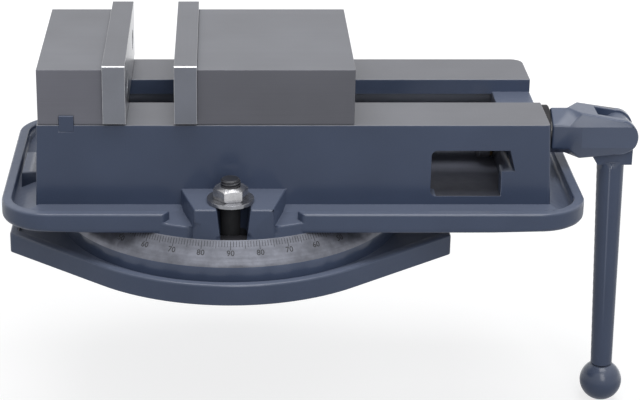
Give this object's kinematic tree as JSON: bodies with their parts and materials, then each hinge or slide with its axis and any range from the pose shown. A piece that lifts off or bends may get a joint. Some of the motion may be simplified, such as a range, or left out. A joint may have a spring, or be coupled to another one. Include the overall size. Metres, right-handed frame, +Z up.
{
  "type": "machine vise",
  "caption": "Precision machine vise with ground steel jaws and ways, coolant tray and folding crank handle, clamped on a graduated swivel base with slotted ears.",
  "frame": {"origin": "swivel axis on the underside of the base", "axes": "+X along the lead screw towards the crank, +Y away from the operator's side, +Z up"},
  "size_m": [0.4702, 0.28, 0.2995],
  "materials": {
    "casting_paint": "blue-grey semi-gloss enamel on cast iron",
    "ground_steel": "surface-ground steel",
    "plate_steel": "hardened and ground steel",
    "turned_steel": "turned steel",
    "black_steel": "black oxide steel",
    "bright_zinc": "bright zinc plate",
    "cast_nut": "machined ductile iron",
    "brass_cage": "pressed brass"
  },
  "bodies": {
    "base": {"swivel_base": "casting_paint", "pivot_post": "turned_steel"},
    "bed": {"vise_body": "casting_paint", "t_bolts": "black_steel", "clamp_washers": "bright_zinc", "fixed_jaw": "ground_steel", "jaw_key": "casting_paint", "fixed_jaw_bolts": "black_steel", "fixed_jaw_plate": "plate_steel", "fixed_plate_screws": "black_steel", "fixed_race": "turned_steel", "bearing_balls": "turned_steel", "ball_cage": "brass_cage"},
    "slide": {"movable_jaw": "ground_steel", "movable_jaw_plate": "plate_steel", "movable_plate_screws": "black_steel", "jaw_nut": "cast_nut", "half_ball": "turned_steel", "nut_set_screw": "black_steel"},
    "screw": {"lead_screw": "turned_steel", "turning_race": "turned_steel", "screw_collar": "black_steel", "collar_set_screw": "black_steel", "crank_hub": "casting_paint", "hub_set_screw": "black_steel", "fork_pin": "casting_paint"},
    "crank_handle": {"handle_arm": "casting_paint", "ball_knob": "casting_paint"},
    "front_nut": {"clamp_nut_front": "bright_zinc"},
    "back_nut": {"clamp_nut_back": "bright_zinc"}
  },
  "joints": [
    {"name": "swivel_turn", "type": "hinge", "parent": "base", "child": "bed", "pos_m": [0, 0, 0.0389], "axis": [0, 0, 1], "continuous": true},
    {"name": "jaw_slide", "type": "slide", "parent": "bed", "child": "slide", "axis": [1, 0, 0], "range_m": [-0.034, 0.116]},
    {"name": "screw_turn", "type": "hinge", "parent": "bed", "child": "screw", "pos_m": [0.21, 0, 0.079], "axis": [1, 0, 0], "range_deg": [-2449, 8353]},
    {"name": "handle_fold", "type": "hinge", "parent": "screw", "child": "crank_handle", "pos_m": [0.28845, 0, 0.079], "axis": [0, -1, 0], "range_deg": [0, 180]},
    {"name": "front_nut_turn", "type": "hinge", "parent": "bed", "child": "front_nut", "pos_m": [0, -0.0992, 0.07], "axis": [0, 0, 1], "range_deg": [0, 360]},
    {"name": "back_nut_turn", "type": "hinge", "parent": "bed", "child": "back_nut", "pos_m": [0, 0.0992, 0.07], "axis": [0, 0, 1], "range_deg": [0, 360]}
  ],
  "couplings": [
    {"joint": "screw_turn", "follows": "jaw_slide", "rad_per_m": 1256.6}
  ]
}
